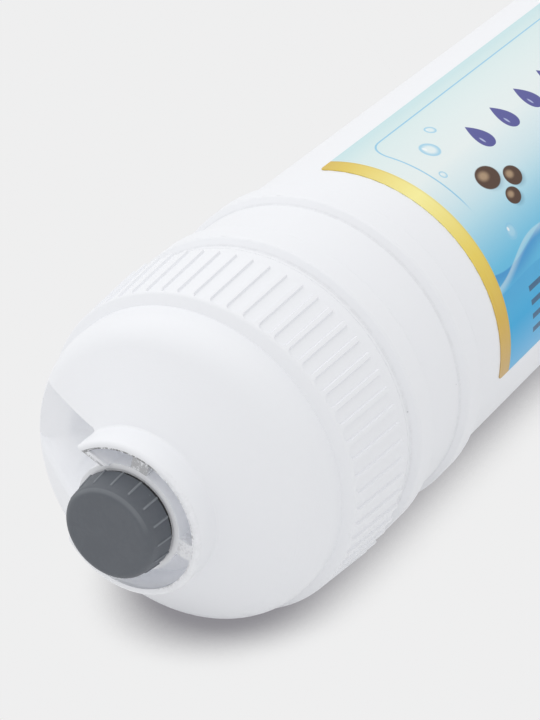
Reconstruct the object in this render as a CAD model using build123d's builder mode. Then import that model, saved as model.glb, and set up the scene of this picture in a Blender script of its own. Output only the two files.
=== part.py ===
from build123d import *
import math
import os

os.makedirs("parts", exist_ok=True)

# An inline water filter cartridge: a white canister with a domed, ribbed cap welded to one end.
# It lies on its side. X runs along its axis from the cap to the closed end, and Z is up.
# A station is a distance in along the axis from the collar rim of an end. Sizes are millimetres.

# Body
body_length = 270.0
tube_radius = 25.0
wall_thickness = 3.0

# Domed head, the same outline at both ends
collar_radius = 11.9
collar_rim_round = 0.6
collar_foot_station = 4.5
collar_foot_round = 0.5
dome_inset = 1.3
dome_corner_station = 12.4
dome_round = 6.0
dome_base_station = 17.8
skirt_start_station = 18.9
skirt_start_height = 0.27
skirt_start_round = 0.7
grip_end_station = 30.9
grip_end_height = 1.28
skirt_end_station = 34.2

# Grip slots along the skirt, with ribs between. One lies on the lowest line, so that the body
# rests on the ribs beside it and doesn't roll.
grip_count = 60
grip_slot_station = 19.2
grip_slot_width = 1.8
grip_slot_depth = 0.35
grip_slot_draft = 25.0
grip_slot_margin = 0.4

# Collar, its cored pocket and the port boss in the middle
pocket_radius = 10.8
pocket_floor_station = 5.2
boss_radius = 8.2
boss_top_station = 0.8
web_count = 4
web_angle = 104.0
web_width = 2.6
web_bite = 0.3

# Threaded port, drawn at the crest of its quarter-inch pipe thread
port_radius = 6.58
port_floor_station = 12.5
passage_radius = 2.2
passage_cone_length = 2.0
sleeve_radius = 9.0
sleeve_end_station = 16.0

# Trough beside the boss, which clears the arm of an elbow fitting
channel_angle = 24.4
channel_width = 10.6
channel_reach = 11.3
channel_wall = 0.8
trough_reach = 24.0
trough_floor_station = 12.0
trough_side_slope = 0.57
trough_side_wall = 0.8
trough_well_radius = 18.0
trough_well_depth = 1.6
trough_wall = 3.0
trough_lip_round = 1.5
trough_lip_relief = 0.03
trough_lip_stations = (4.7, 9.6)

# Inside of the head
head_flat_station = 8.2
head_flat_radius = 13.0
head_cone_station = 13.6
head_bore_inset = 0.8

# Weld joint: the canister's neck stands inside the cap's skirt
neck_inset = 1.6
neck_clearance = 0.06
weld_gap = 0.25

# Beads around the canister beside the weld
bead_stations = (35.1, 50.2)
bead_height = 1.05
bead_width = 5.7
bead_near_slope = 1.1
bead_far_slope = 0.6
bead_near_round = 0.7
bead_far_round = 0.3

# Filling: a screen and a felt pad at each end of the carbon bed
filling_clearance = 0.3
screen_thickness = 2.0
pad_thickness = 5.0
screen_slot_count = 12
screen_slot_length = 12.0
screen_slot_width = 2.4
screen_slot_centre = 12.0

# Label
label_station = 63.6
label_length = 150.0
label_thickness = 0.12
label_glue = 0.1
label_start_angle = 75.0
label_arc = 112.0

# Screw plug, and the seal ring round the groove under its head
plug_face_station = -4.3
plug_face_radius = 7.0
plug_base_radius = 7.48
plug_face_round = 1.0
plug_ridge_count = 16
plug_ridge_height = 0.18
plug_ridge_width = 0.4
plug_ridge_drop = 1.4
plug_length_in_port = 10.2
plug_clearance = 0.06
plug_tip_round = 0.8
plug_groove_radius = 5.4
seal_thickness = 0.7
seal_radius = 7.1
seal_clearance = 0.06
seal_end_gap = 0.5

# Sizes that follow from those above
inner_radius = tube_radius - wall_thickness
dome_radius = tube_radius - dome_inset
skirt_start_radius = tube_radius + skirt_start_height
grip_end_radius = tube_radius + grip_end_height
head_bore_radius = inner_radius - head_bore_inset
neck_radius = tube_radius - neck_inset
bead_radius = tube_radius + bead_height
grip_slope = (grip_end_radius - skirt_start_radius) / (grip_end_station - skirt_start_station)
grip_half_opening = grip_slot_width / 2 + grip_slot_depth * math.tan(math.radians(grip_slot_draft))
axis_height = math.sqrt(grip_end_radius**2 - grip_half_opening**2)
dome_slope = (dome_corner_station - collar_foot_station) / (dome_radius - collar_radius)
trough_level = channel_reach * math.sin(math.radians(channel_angle))
trough_height = channel_width * math.cos(math.radians(channel_angle))
trough_bottom = trough_level - trough_height / 2
trough_depth = trough_floor_station - plug_face_station
trough_side_drop = trough_floor_station * trough_side_slope + trough_side_wall
screen_seat_station = skirt_start_station
bed_station = screen_seat_station + screen_thickness + pad_thickness
plug_radius = port_radius - plug_clearance
plug_seat_station = boss_top_station - seal_thickness
plug_groove_station = boss_top_station + seal_end_gap
plug_slope = (plug_base_radius - plug_face_radius) / (plug_seat_station - plug_face_station)
plug_tip_station = boss_top_station + plug_length_in_port

cap_end = Plane(origin=(-body_length / 2, 0, axis_height), x_dir=(1, 0, 0), z_dir=(0, -1, 0))
closed_end = Plane(origin=(body_length / 2, 0, axis_height), x_dir=(-1, 0, 0), z_dir=(0, 1, 0))
body_axis = Axis((0, 0, axis_height), (1, 0, 0))


def across(end, station):
    """A plane across the body at a station, facing inwards, with its own X along Y."""
    return Plane(origin=end.origin + end.x_dir * station, x_dir=(0, 1, 0), z_dir=end.x_dir)


def turned(end, corners, rounds=0.0, mode=Mode.ADD):
    """Turn a closed outline of (station, radius) corners about the body's axis."""
    with BuildSketch(end) as profile:
        with BuildLine():
            FilletPolyline(*corners, radius=rounds, close=True)
        make_face()
    revolve(profile.sketch, axis=body_axis, mode=mode)


def head(end):
    """The solid outside of an end: collar, dome and skirt."""
    turned(
        end,
        [
            (0, 0),
            (0, collar_radius),
            (collar_foot_station, collar_radius),
            (dome_corner_station, dome_radius),
            (dome_base_station, dome_radius),
            (skirt_start_station, skirt_start_radius),
            (grip_end_station, grip_end_radius),
            (grip_end_station, tube_radius),
            (skirt_end_station, tube_radius),
            (skirt_end_station, 0),
        ],
        [0, collar_rim_round, collar_foot_round, dome_round, 0, skirt_start_round, 0, 0, 0, 0],
    )


def skin_planes(end, station, radius, slope, count):
    """Planes on a cone round the axis, evenly spaced from its lowest line, each with its own X inwards."""
    planes = []
    for step in range(count):
        turn = 2 * math.pi * step / count - math.pi / 2
        outward = Vector(0, math.cos(turn), math.sin(turn))
        planes.append(
            Plane(
                origin=end.origin + end.x_dir * station + outward * radius,
                x_dir=end.x_dir + outward * slope,
                z_dir=outward - end.x_dir * slope,
            )
        )
    return planes


def grip_slots(end):
    """Flat-floored slots all round the skirt, closed by a half round near the dome."""
    crest_radius = skirt_start_radius + (grip_slot_station - skirt_start_station) * grip_slope
    floor_radius = crest_radius - grip_slot_depth
    length = grip_end_station - grip_slot_station + grip_slot_width
    with BuildSketch(*skin_planes(end, grip_slot_station, floor_radius, grip_slope, grip_count)) as slots:
        with Locations((length / 2, 0)):
            SlotOverall(length, grip_slot_width)
    extrude(
        slots.sketch,
        amount=grip_slot_depth + grip_slot_margin,
        taper=-grip_slot_draft,
        mode=Mode.SUBTRACT,
    )


def channel(width, mode=Mode.ADD):
    """A strip from the axis out through the collar, drawn across the body."""
    with PolarLocations(channel_reach / 2, 1, start_angle=channel_angle):
        Rectangle(channel_reach, width, mode=mode)


def trough_plan():
    """The trough as seen along the axis: the strip through the collar, then a level pocket in the dome."""
    turn = math.radians(channel_angle)
    inner = channel_reach * math.cos(turn) - channel_width / 2 * math.sin(turn)
    channel(channel_width)
    with Locations(((inner + trough_reach) / 2, trough_level)):
        Rectangle(trough_reach - inner, trough_height)


def lip_point(station):
    """A point on the edge where the trough's sloping lower side comes out of the dome."""
    radius = collar_radius + (station - collar_foot_station) / dome_slope
    level = trough_bottom - (trough_floor_station - station) * trough_side_slope
    return cap_end.origin + Vector(station, math.sqrt(radius**2 - level**2), level)


def collar_pocket(end, notched):
    """Core out the collar round the boss, and leave webs, and walls beside the trough."""
    with BuildSketch(across(end, 0)) as boss_top:
        Circle(boss_radius)
    extrude(boss_top.sketch, amount=boss_top_station, mode=Mode.SUBTRACT)
    with BuildSketch(across(end, 0)) as pocket:
        Circle(pocket_radius)
        Circle(boss_radius, mode=Mode.SUBTRACT)
        if notched:
            channel(channel_width + 2 * channel_wall, mode=Mode.SUBTRACT)
            with Locations((collar_radius, trough_bottom)):
                Rectangle(2 * collar_radius, 2 * trough_side_drop, mode=Mode.SUBTRACT)
    extrude(pocket.sketch, amount=pocket_floor_station, mode=Mode.SUBTRACT)
    with BuildSketch(across(end, boss_top_station)) as webs:
        with PolarLocations((boss_radius + pocket_radius) / 2, web_count, start_angle=web_angle):
            Rectangle(pocket_radius - boss_radius + 2 * web_bite, web_width)
    extrude(webs.sketch, amount=pocket_floor_station - boss_top_station + web_bite)


def port(end):
    """The threaded port, and the passage from its floor to the inside."""
    turned(
        end,
        [
            (boss_top_station, 0),
            (boss_top_station, port_radius),
            (port_floor_station, port_radius),
            (port_floor_station + passage_cone_length, passage_radius),
            (sleeve_end_station, passage_radius),
            (sleeve_end_station, 0),
        ],
        mode=Mode.SUBTRACT,
    )


def head_hollow(end, mode=Mode.ADD):
    """The space inside a head, round the sleeve that carries the port."""
    turned(
        end,
        [
            (sleeve_end_station, 0),
            (sleeve_end_station, sleeve_radius),
            (head_flat_station, sleeve_radius),
            (head_flat_station, head_flat_radius),
            (head_cone_station, head_bore_radius),
            (screen_seat_station, head_bore_radius),
            (screen_seat_station, 0),
        ],
        mode=mode,
    )


def plug(end):
    """A screw plug: a ridged, slightly tapered head, a groove for the seal and a shank in the port."""
    turned(
        end,
        [
            (plug_face_station, 0),
            (plug_face_station, plug_face_radius),
            (plug_seat_station, plug_base_radius),
            (plug_seat_station, plug_groove_radius),
            (plug_groove_station, plug_groove_radius),
            (plug_groove_station, plug_radius),
            (plug_tip_station, plug_radius),
            (plug_tip_station, 0),
        ],
        [0, plug_face_round, 0, 0, 0, 0, plug_tip_round, 0],
    )
    ridge_station = plug_face_station + plug_ridge_drop
    ridge_radius = plug_face_radius + plug_ridge_drop * plug_slope
    ridge_length = plug_seat_station - ridge_station
    with BuildSketch(*skin_planes(end, ridge_station, ridge_radius, plug_slope, plug_ridge_count)) as ridges:
        with Locations((ridge_length / 2, 0)):
            Rectangle(ridge_length, plug_ridge_width)
    extrude(ridges.sketch, amount=plug_ridge_height, both=True)


def plug_seal(end):
    """A flat rubber ring round the plug's groove, between its head and the boss."""
    turned(
        end,
        [
            (plug_seat_station, plug_groove_radius + seal_clearance),
            (plug_seat_station, seal_radius),
            (boss_top_station, seal_radius),
            (boss_top_station, plug_groove_radius + seal_clearance),
        ],
    )


def screen(end):
    """A slotted disc that keeps the carbon out of the head."""
    with BuildSketch(across(end, screen_seat_station)) as disc:
        Circle(inner_radius - filling_clearance)
        with PolarLocations(screen_slot_centre, screen_slot_count):
            SlotOverall(screen_slot_length, screen_slot_width, mode=Mode.SUBTRACT)
    extrude(disc.sketch, amount=screen_thickness)


def felt_pad(end):
    """A round felt pad between a screen and the carbon."""
    with BuildSketch(across(end, screen_seat_station + screen_thickness)) as disc:
        Circle(inner_radius - filling_clearance)
    extrude(disc.sketch, amount=pad_thickness)


# The space of the trough: its sloping lower side, its level part and the well beside the boss
with BuildPart() as trough_side:
    with BuildSketch(cap_end):
        Polygon(
            (trough_floor_station, trough_bottom),
            (plug_face_station, trough_bottom),
            (plug_face_station, trough_bottom - trough_depth * trough_side_slope),
            align=None,
        )
    extrude(amount=-trough_reach)
    with BuildSketch(across(cap_end, plug_face_station)):
        Circle(boss_radius)
    extrude(amount=trough_depth, mode=Mode.SUBTRACT)

with BuildPart() as trough:
    with BuildSketch(across(cap_end, plug_face_station)):
        trough_plan()
        Circle(boss_radius, mode=Mode.SUBTRACT)
    extrude(amount=trough_depth)
    add(trough_side.part)
    with BuildSketch(across(cap_end, trough_floor_station)):
        trough_plan()
        Circle(trough_well_radius, mode=Mode.INTERSECT)
        Circle(boss_radius, mode=Mode.SUBTRACT)
    extrude(amount=trough_well_depth)

# The space inside the cap, with the walls of the trough left standing in it
with BuildPart() as cap_hollow:
    head_hollow(cap_end)
    with BuildSketch(across(cap_end, head_flat_station)):
        trough_plan()
        offset(amount=trough_wall, kind=Kind.INTERSECTION)
    extrude(
        amount=trough_floor_station + trough_well_depth + trough_wall - head_flat_station,
        mode=Mode.SUBTRACT,
    )

# The plane across the trough's lower lip, with its own Y along the way out between the two faces
lip_start = lip_point(trough_lip_stations[0])
lip_end = lip_point(trough_lip_stations[1])
lip_way = (lip_end - lip_start).normalized()
lip_radial = Vector(0, lip_start.Y, lip_start.Z - axis_height).normalized()
dome_out = Vector(-1, 0, 0) + lip_radial * dome_slope
side_out = Vector(-trough_side_slope, 0, 1)
lip_out = (dome_out.normalized() + side_out.normalized()).normalized()
lip_plane = Plane(origin=lip_start, x_dir=lip_out.cross(lip_way), z_dir=lip_way)
lip_half_turn = math.radians(dome_out.get_angle(side_out)) / 2
lip_depth = trough_lip_round / math.cos(lip_half_turn) - trough_lip_relief
lip_width = 2 * trough_lip_round * math.sin(lip_half_turn)

# End cap: dome, collar, boss and ribbed skirt in one moulding
with BuildPart() as end_cap:
    head(cap_end)
    add(cap_hollow.part, mode=Mode.SUBTRACT)
    turned(
        cap_end,
        [
            (screen_seat_station, 0),
            (screen_seat_station, neck_radius + neck_clearance),
            (skirt_end_station, neck_radius + neck_clearance),
            (skirt_end_station, 0),
        ],
        mode=Mode.SUBTRACT,
    )
    collar_pocket(cap_end, notched=True)
    add(trough.part, mode=Mode.SUBTRACT)
    with BuildSketch(lip_plane):
        with Locations((0, -lip_depth)):
            Rectangle(lip_width, 2 * trough_lip_round, align=(Align.CENTER, Align.MIN))
            Circle(trough_lip_round, mode=Mode.SUBTRACT)
    extrude(amount=2 * (lip_end - lip_start).length, mode=Mode.SUBTRACT)
    port(cap_end)
    grip_slots(cap_end)
end_cap.part.label = "end_cap"
export_step(end_cap.part, "parts/end_cap.step")

# Canister: neck, beads, tube and closed end in one moulding
with BuildPart() as canister:
    outline = [
        (screen_seat_station, 0),
        (screen_seat_station, neck_radius),
        (skirt_end_station + weld_gap, neck_radius),
        (skirt_end_station + weld_gap, tube_radius),
    ]
    rounds = [0, 0, 0, 0]
    for start in bead_stations:
        outline += [
            (start, tube_radius),
            (start + bead_near_slope, bead_radius),
            (start + bead_width - bead_far_slope, bead_radius),
            (start + bead_width, tube_radius),
        ]
        rounds += [0, bead_near_round, bead_far_round, 0]
    outline += [
        (body_length - skirt_end_station, tube_radius),
        (body_length - skirt_end_station, 0),
    ]
    rounds += [0, 0]
    turned(cap_end, outline, rounds)
    head(closed_end)
    grip_slots(closed_end)
    turned(
        cap_end,
        [
            (screen_seat_station, 0),
            (screen_seat_station, inner_radius),
            (body_length - screen_seat_station, inner_radius),
            (body_length - screen_seat_station, 0),
        ],
        mode=Mode.SUBTRACT,
    )
    head_hollow(closed_end, mode=Mode.SUBTRACT)
    collar_pocket(closed_end, notched=False)
    port(closed_end)
canister.part.label = "canister"
export_step(canister.part, "parts/canister.step")

# Label: a thin sheet, a film of glue above the tube
start_turn = math.radians(label_start_angle)
label_edge = Plane(
    origin=cap_end.origin,
    x_dir=(1, 0, 0),
    z_dir=(0, -math.sin(start_turn), math.cos(start_turn)),
)
with BuildPart() as label:
    with BuildSketch(label_edge):
        with Locations((label_station, tube_radius + label_glue)):
            Rectangle(label_length, label_thickness, align=Align.MIN)
    revolve(axis=body_axis, revolution_arc=label_arc)
label.part.label = "label"
export_step(label.part, "parts/label.step")

# Carbon bed: the packed granules as one solid
with BuildPart() as carbon_bed:
    with BuildSketch(across(cap_end, bed_station)):
        Circle(inner_radius - filling_clearance)
    extrude(amount=body_length - 2 * bed_station)
carbon_bed.part.label = "carbon_bed"
export_step(carbon_bed.part, "parts/carbon_bed.step")

# Pieces at the cap's end
with BuildPart() as cap_plug:
    plug(cap_end)
cap_plug.part.label = "cap_plug"
export_step(cap_plug.part, "parts/cap_plug.step")

with BuildPart() as cap_plug_seal:
    plug_seal(cap_end)
cap_plug_seal.part.label = "cap_plug_seal"
export_step(cap_plug_seal.part, "parts/cap_plug_seal.step")

with BuildPart() as cap_screen:
    screen(cap_end)
cap_screen.part.label = "cap_screen"
export_step(cap_screen.part, "parts/cap_screen.step")

with BuildPart() as cap_felt_pad:
    felt_pad(cap_end)
cap_felt_pad.part.label = "cap_felt_pad"
export_step(cap_felt_pad.part, "parts/cap_felt_pad.step")

# Pieces at the closed end
with BuildPart() as closed_end_plug:
    plug(closed_end)
closed_end_plug.part.label = "closed_end_plug"
export_step(closed_end_plug.part, "parts/closed_end_plug.step")

with BuildPart() as closed_end_plug_seal:
    plug_seal(closed_end)
closed_end_plug_seal.part.label = "closed_end_plug_seal"
export_step(closed_end_plug_seal.part, "parts/closed_end_plug_seal.step")

with BuildPart() as closed_end_screen:
    screen(closed_end)
closed_end_screen.part.label = "closed_end_screen"
export_step(closed_end_screen.part, "parts/closed_end_screen.step")

with BuildPart() as closed_end_felt_pad:
    felt_pad(closed_end)
closed_end_felt_pad.part.label = "closed_end_felt_pad"
export_step(closed_end_felt_pad.part, "parts/closed_end_felt_pad.step")
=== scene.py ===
# %% [markdown]
# # A water filter cartridge on a studio table
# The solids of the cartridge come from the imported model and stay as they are. This lesson dresses them:
# it adds the fine screw threads, gives every piece a finish made from nodes, and sets up the picture.

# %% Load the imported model
import math

import bmesh
import bpy
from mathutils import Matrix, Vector


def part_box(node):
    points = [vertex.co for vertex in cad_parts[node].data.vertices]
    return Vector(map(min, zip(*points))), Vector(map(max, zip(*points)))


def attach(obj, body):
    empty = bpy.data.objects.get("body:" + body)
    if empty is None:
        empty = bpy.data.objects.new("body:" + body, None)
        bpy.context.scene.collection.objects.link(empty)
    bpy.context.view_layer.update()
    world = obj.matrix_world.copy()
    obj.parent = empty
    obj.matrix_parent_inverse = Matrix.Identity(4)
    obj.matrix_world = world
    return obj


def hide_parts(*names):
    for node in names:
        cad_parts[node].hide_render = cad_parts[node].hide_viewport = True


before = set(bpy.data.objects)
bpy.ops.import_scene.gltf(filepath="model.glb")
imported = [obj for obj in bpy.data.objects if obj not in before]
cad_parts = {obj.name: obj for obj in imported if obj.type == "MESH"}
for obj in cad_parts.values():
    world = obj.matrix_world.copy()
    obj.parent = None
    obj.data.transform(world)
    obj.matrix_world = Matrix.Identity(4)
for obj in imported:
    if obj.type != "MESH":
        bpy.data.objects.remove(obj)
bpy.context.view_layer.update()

MM = 0.001
print("nodes:", sorted(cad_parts))

# %% [markdown]
# ## Where things are
# Every size below is read from the model's own boxes where that is possible. The cartridge lies along X,
# its axis is half way up its box, and a *station* is a distance in from the rim of the collar at the cap's end.

# %% Measure the frame
cap_low, cap_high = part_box("end_cap")
RIM_X = cap_low.x
AXIS_Z = (cap_low.z + cap_high.z) / 2
BODY_HALF = -RIM_X
label_low, label_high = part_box("label")
print("collar rim at", round(RIM_X, 4), "axis at height", round(AXIS_Z, 5))

# %% [markdown]
# ## Small helpers for nodes
# A finish is a graph, and a graph is easier to read when each line adds one node and joins it up at once.

# %% Node helpers
def put(tree, kind, inputs=None, **options):
    """Add a node, set its options, then set or link its inputs by name or number."""
    made = tree.nodes.new(kind)
    for name, value in options.items():
        setattr(made, name, value)
    for name, value in (inputs or {}).items():
        if isinstance(value, bpy.types.NodeSocket):
            tree.links.new(value, made.inputs[name])
        else:
            made.inputs[name].default_value = value
    return made


def calc(tree, operation, first, second=0.0, clamp=False):
    """One step of arithmetic on two sockets or numbers."""
    made = put(tree, "ShaderNodeMath", {0: first, 1: second}, operation=operation, use_clamp=clamp)
    return made.outputs[0]


def ramp(tree, value, low, high, smooth=True):
    """0 below low, 1 above high, and a smooth rise between them. Low may be above high."""
    kind = "SMOOTHSTEP" if smooth else "LINEAR"
    inputs = {"Value": value, "From Min": low, "From Max": high}
    return put(tree, "ShaderNodeMapRange", inputs, interpolation_type=kind).outputs["Result"]


def blend(tree, share, first, second):
    """Mix two colours by a share."""
    made = put(tree, "ShaderNodeMix", {"Factor": share}, data_type="RGBA")
    for socket, value in ((made.inputs[6], first), (made.inputs[7], second)):
        if isinstance(value, bpy.types.NodeSocket):
            tree.links.new(value, socket)
        else:
            socket.default_value = (*value, 1.0)
    return made.outputs[2]


def start_group(name, inputs, outputs):
    """An empty node group with named sockets. Returns its tree, its inputs and its outputs."""
    tree = bpy.data.node_groups.new(name, "ShaderNodeTree")
    kinds = {"value": "NodeSocketFloat", "vector": "NodeSocketVector", "colour": "NodeSocketColor"}
    for label, kind, default in inputs:
        socket = tree.interface.new_socket(label, in_out="INPUT", socket_type=kinds[kind])
        if default is not None:
            socket.default_value = default
    for label, kind in outputs:
        tree.interface.new_socket(label, in_out="OUTPUT", socket_type=kinds[kind])
    return tree, tree.nodes.new("NodeGroupInput").outputs, tree.nodes.new("NodeGroupOutput").inputs


def use_group(tree, group, inputs):
    """Place a group in a material and return its outputs."""
    made = tree.nodes.new("ShaderNodeGroup")
    made.node_tree = group
    for name, value in inputs.items():
        if isinstance(value, bpy.types.NodeSocket):
            tree.links.new(value, made.inputs[name])
        else:
            made.inputs[name].default_value = value
    return made.outputs


print("node helpers ready")

# %% [markdown]
# ## Where a point is on a turned part
# Most marks on this cartridge follow its axis: a scuffed rim, dust beside a bead, the print on the label.
# This group turns a place in metres into a station, a radius and an angle, all in easy units. The two ends are
# alike, so it also gives the distance in from whichever end is nearer.

# %% Group: polar place
polar_place, at, out = start_group(
    "polar_place",
    [("Place", "vector", None)],
    [("Station", "value"), ("From end", "value"), ("Radius", "value"), ("Angle", "value")],
)
parts = put(polar_place, "ShaderNodeSeparateXYZ", {0: at["Place"]}).outputs
side = calc(polar_place, "MULTIPLY", parts["Y"], 1 / MM)
height = calc(polar_place, "MULTIPLY", calc(polar_place, "SUBTRACT", parts["Z"], AXIS_Z), 1 / MM)
station = calc(polar_place, "MULTIPLY", calc(polar_place, "SUBTRACT", parts["X"], RIM_X), 1 / MM)
radius = calc(
    polar_place,
    "SQRT",
    calc(polar_place, "ADD", calc(polar_place, "POWER", side, 2.0), calc(polar_place, "POWER", height, 2.0)),
)
turn = calc(polar_place, "DEGREES", calc(polar_place, "ARCTAN2", height, side))
turn = calc(polar_place, "FLOORED_MODULO", turn, 360.0)
from_end = calc(polar_place, "MINIMUM", station, calc(polar_place, "SUBTRACT", 2 * BODY_HALF / MM, station))
for label, socket in (("Station", station), ("From end", from_end), ("Radius", radius), ("Angle", turn)):
    polar_place.links.new(socket, out[label])
print("group:", polar_place.name)

# %% [markdown]
# ## A zone with soft edges
# Wear is never everywhere. A zone is 1 between two values and fades out over a stated width.

# %% Group: soft zone
soft_zone, at, out = start_group(
    "soft_zone",
    [("Value", "value", 0.0), ("From", "value", 0.0), ("To", "value", 1.0), ("Soft", "value", 0.1)],
    [("Mask", "value")],
)
rise = ramp(soft_zone, at["Value"], calc(soft_zone, "SUBTRACT", at["From"], at["Soft"]), at["From"])
fall = ramp(soft_zone, at["Value"], calc(soft_zone, "ADD", at["To"], at["Soft"]), at["To"])
soft_zone.links.new(calc(soft_zone, "MULTIPLY", rise, fall), out["Mask"])
print("group:", soft_zone.name)

# %% [markdown]
# ## Specks
# Fine dark dust sticks to moulded plastic. A Voronoi texture scatters points, and a random number per
# point keeps only a few of them and gives each its own size.

# %% Group: specks
specks, at, out = start_group(
    "specks",
    [("Place", "vector", None), ("Per metre", "value", 400.0), ("Kept", "value", 0.1), ("Size", "value", 0.1)],
    [("Mask", "value")],
)
cells = put(
    specks,
    "ShaderNodeTexVoronoi",
    {"Vector": at["Place"], "Scale": at["Per metre"]},
    voronoi_dimensions="3D",
)
dice = put(specks, "ShaderNodeSeparateColor", {0: cells.outputs["Color"]}).outputs
kept = calc(specks, "LESS_THAN", dice["Red"], at["Kept"])
reach = calc(specks, "MULTIPLY", at["Size"], calc(specks, "ADD", 0.4, dice["Green"]))
near = ramp(specks, cells.outputs["Distance"], reach, calc(specks, "MULTIPLY", reach, 0.55))
specks.links.new(calc(specks, "MULTIPLY", kept, near), out["Mask"])
print("group:", specks.name)

# %% [markdown]
# ## Smudges
# Handling leaves grey, patchy grime. Two noises of different scale, multiplied and cut, give patches with
# broken edges.

# %% Group: smudge
smudge, at, out = start_group(
    "smudge",
    [("Place", "vector", None), ("Per metre", "value", 900.0), ("Cover", "value", 0.5)],
    [("Mask", "value")],
)
broad = put(
    smudge,
    "ShaderNodeTexNoise",
    {"Vector": at["Place"], "Scale": at["Per metre"], "Detail": 3.0, "Roughness": 0.6},
).outputs["Fac"]
fine = put(
    smudge,
    "ShaderNodeTexNoise",
    {
        "Vector": at["Place"],
        "Scale": calc(smudge, "MULTIPLY", at["Per metre"], 4.0),
        "Detail": 2.0,
        "Roughness": 0.7,
    },
).outputs["Fac"]
mixed = calc(smudge, "ADD", calc(smudge, "MULTIPLY", broad, 0.65), calc(smudge, "MULTIPLY", fine, 0.35))
edge = calc(smudge, "SUBTRACT", 0.75, calc(smudge, "MULTIPLY", at["Cover"], 0.5))
patch = ramp(smudge, mixed, calc(smudge, "SUBTRACT", edge, 0.08), calc(smudge, "ADD", edge, 0.08))
smudge.links.new(patch, out["Mask"])
print("group:", smudge.name)

# %% [markdown]
# ## Moulded grain
# Even a polished mould leaves a fine grain, and the wall sinks a little as it cools. The first shows up close
# in the gloss, the second as a slow wander of the reflections.

# %% Group: moulded grain
moulded_grain, at, out = start_group(
    "moulded_grain",
    [("Place", "vector", None), ("Grain per metre", "value", 5000.0), ("Wander", "value", 0.5)],
    [("Height", "value"), ("Patch", "value")],
)
grain = put(
    moulded_grain,
    "ShaderNodeTexNoise",
    {"Vector": at["Place"], "Scale": at["Grain per metre"], "Detail": 2.0},
).outputs["Fac"]
sink = put(
    moulded_grain, "ShaderNodeTexNoise", {"Vector": at["Place"], "Scale": 90.0, "Detail": 1.0}
).outputs["Fac"]
total = calc(moulded_grain, "ADD", grain, calc(moulded_grain, "MULTIPLY", sink, at["Wander"]))
moulded_grain.links.new(total, out["Height"])
moulded_grain.links.new(sink, out["Patch"])
print("group:", moulded_grain.name)

# %% [markdown]
# ## A start for each material
# All finishes here begin the same way: a Principled shader and the place of the point in the frame.

# %% Material starter
def start_material(name):
    """A new material. Returns it with its tree, its shader's inputs and the place of a point."""
    material = bpy.data.materials.new(name)
    material.use_nodes = True
    tree = material.node_tree
    shader = next(n for n in tree.nodes if n.type == "BSDF_PRINCIPLED")
    place = put(tree, "ShaderNodeTexCoord").outputs["Object"]
    return material, tree, shader.inputs, place


def bump(tree, inputs, height, depth, strength=1.0):
    """Lay a height over the surface, with its depth in metres."""
    made = put(tree, "ShaderNodeBump", {"Height": height, "Distance": depth, "Strength": strength})
    tree.links.new(made.outputs["Normal"], inputs["Normal"])


def finish_node(name, material):
    """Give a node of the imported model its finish."""
    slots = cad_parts[name].data.materials
    slots.clear()
    slots.append(material)
    print("finish:", name, "->", material.name)


print("material starter ready")

# %% [markdown]
# ## White moulding
# The cap and the canister are white polypropylene, satin and very slightly blue in the shade. The real one has
# been handled: the collar's rim and webs are grey with grime, and black specks sit on the dome and along the beads.
# The marks are kept to zones by station, radius and angle, so they stay put from every side. The collar's walls are
# thin, and a little light comes through them into the pocket. Scattering in the plastic could give that, but it is
# slow and grainy, so painted light stands for it: a lighter colour and a faint emission in the pocket.

# %% White moulding
white_moulding, tree, shader, place = start_material("white_moulding")
where = use_group(tree, polar_place, {"Place": place})


def zone(value, low, high, soft):
    """A soft zone in the material that is being built."""
    return use_group(tree, soft_zone, {"Value": value, "From": low, "To": high, "Soft": soft})["Mask"]


def both(first, second):
    """Where two masks overlap."""
    return calc(tree, "MULTIPLY", first, second)


def either(first, second):
    """Where at least one of two masks is."""
    return calc(tree, "MAXIMUM", first, second)


rim = both(zone(where["Station"], -0.1, 0.5, 0.25), zone(where["Radius"], 10.9, 12.0, 0.15))
inner_edge = both(zone(where["Station"], -0.1, 0.4, 0.2), zone(where["Radius"], 10.7, 10.95, 0.15))
webs = both(zone(where["Station"], 0.5, 2.4, 0.5), zone(where["Radius"], 8.3, 10.9, 0.1))
upper_web = both(webs, zone(where["Angle"], 95.0, 113.0, 2.0))
lower_web = both(webs, zone(where["Angle"], 184.0, 204.0, 2.0))
off_trough = calc(tree, "RADIANS", calc(tree, "SUBTRACT", where["Angle"], 24.4))
off_trough = calc(tree, "MULTIPLY", where["Radius"], calc(tree, "SINE", off_trough))
wall_edge = both(zone(off_trough, 5.25, 5.6, 0.12), zone(where["Radius"], 8.3, 11.0, 0.2))
wall_edge = both(wall_edge, zone(where["Station"], -0.1, 0.5, 0.2))
patches = use_group(tree, smudge, {"Place": place, "Per metre": 600.0, "Cover": 0.5})["Mask"]
heavy = use_group(tree, smudge, {"Place": place, "Per metre": 1100.0, "Cover": 0.62})["Mask"]
dust = use_group(tree, specks, {"Place": place, "Per metre": 260.0, "Kept": 0.05, "Size": 0.07})["Mask"]

black = either(both(inner_edge, zone(where["Angle"], 58.0, 112.0, 10.0)), calc(tree, "MULTIPLY", upper_web, 0.55))
black = both(either(black, calc(tree, "MULTIPLY", wall_edge, 0.5)), heavy)
grey = either(both(inner_edge, zone(where["Angle"], 112.0, 236.0, 12.0)), calc(tree, "MULTIPLY", lower_web, 0.6))
grey = both(either(grey, calc(tree, "MULTIPLY", both(rim, zone(where["Angle"], 140.0, 230.0, 25.0)), 0.2)), patches)
white = (0.895, 0.907, 0.938)
# Painted light: the pocket gets a lighter colour here and a faint glow below, for light that comes through the thin
# collar walls.
pocket = both(zone(where["From end"], 0.7, 5.4, 0.3), zone(where["Radius"], 7.6, 10.9, 0.2))
colour = blend(tree, pocket, white, (0.93, 0.94, 0.965))
colour = blend(tree, calc(tree, "MULTIPLY", grey, 0.35), colour, (0.34, 0.34, 0.35))
colour = blend(tree, calc(tree, "MULTIPLY", black, 0.8), colour, (0.07, 0.07, 0.07))
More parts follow.
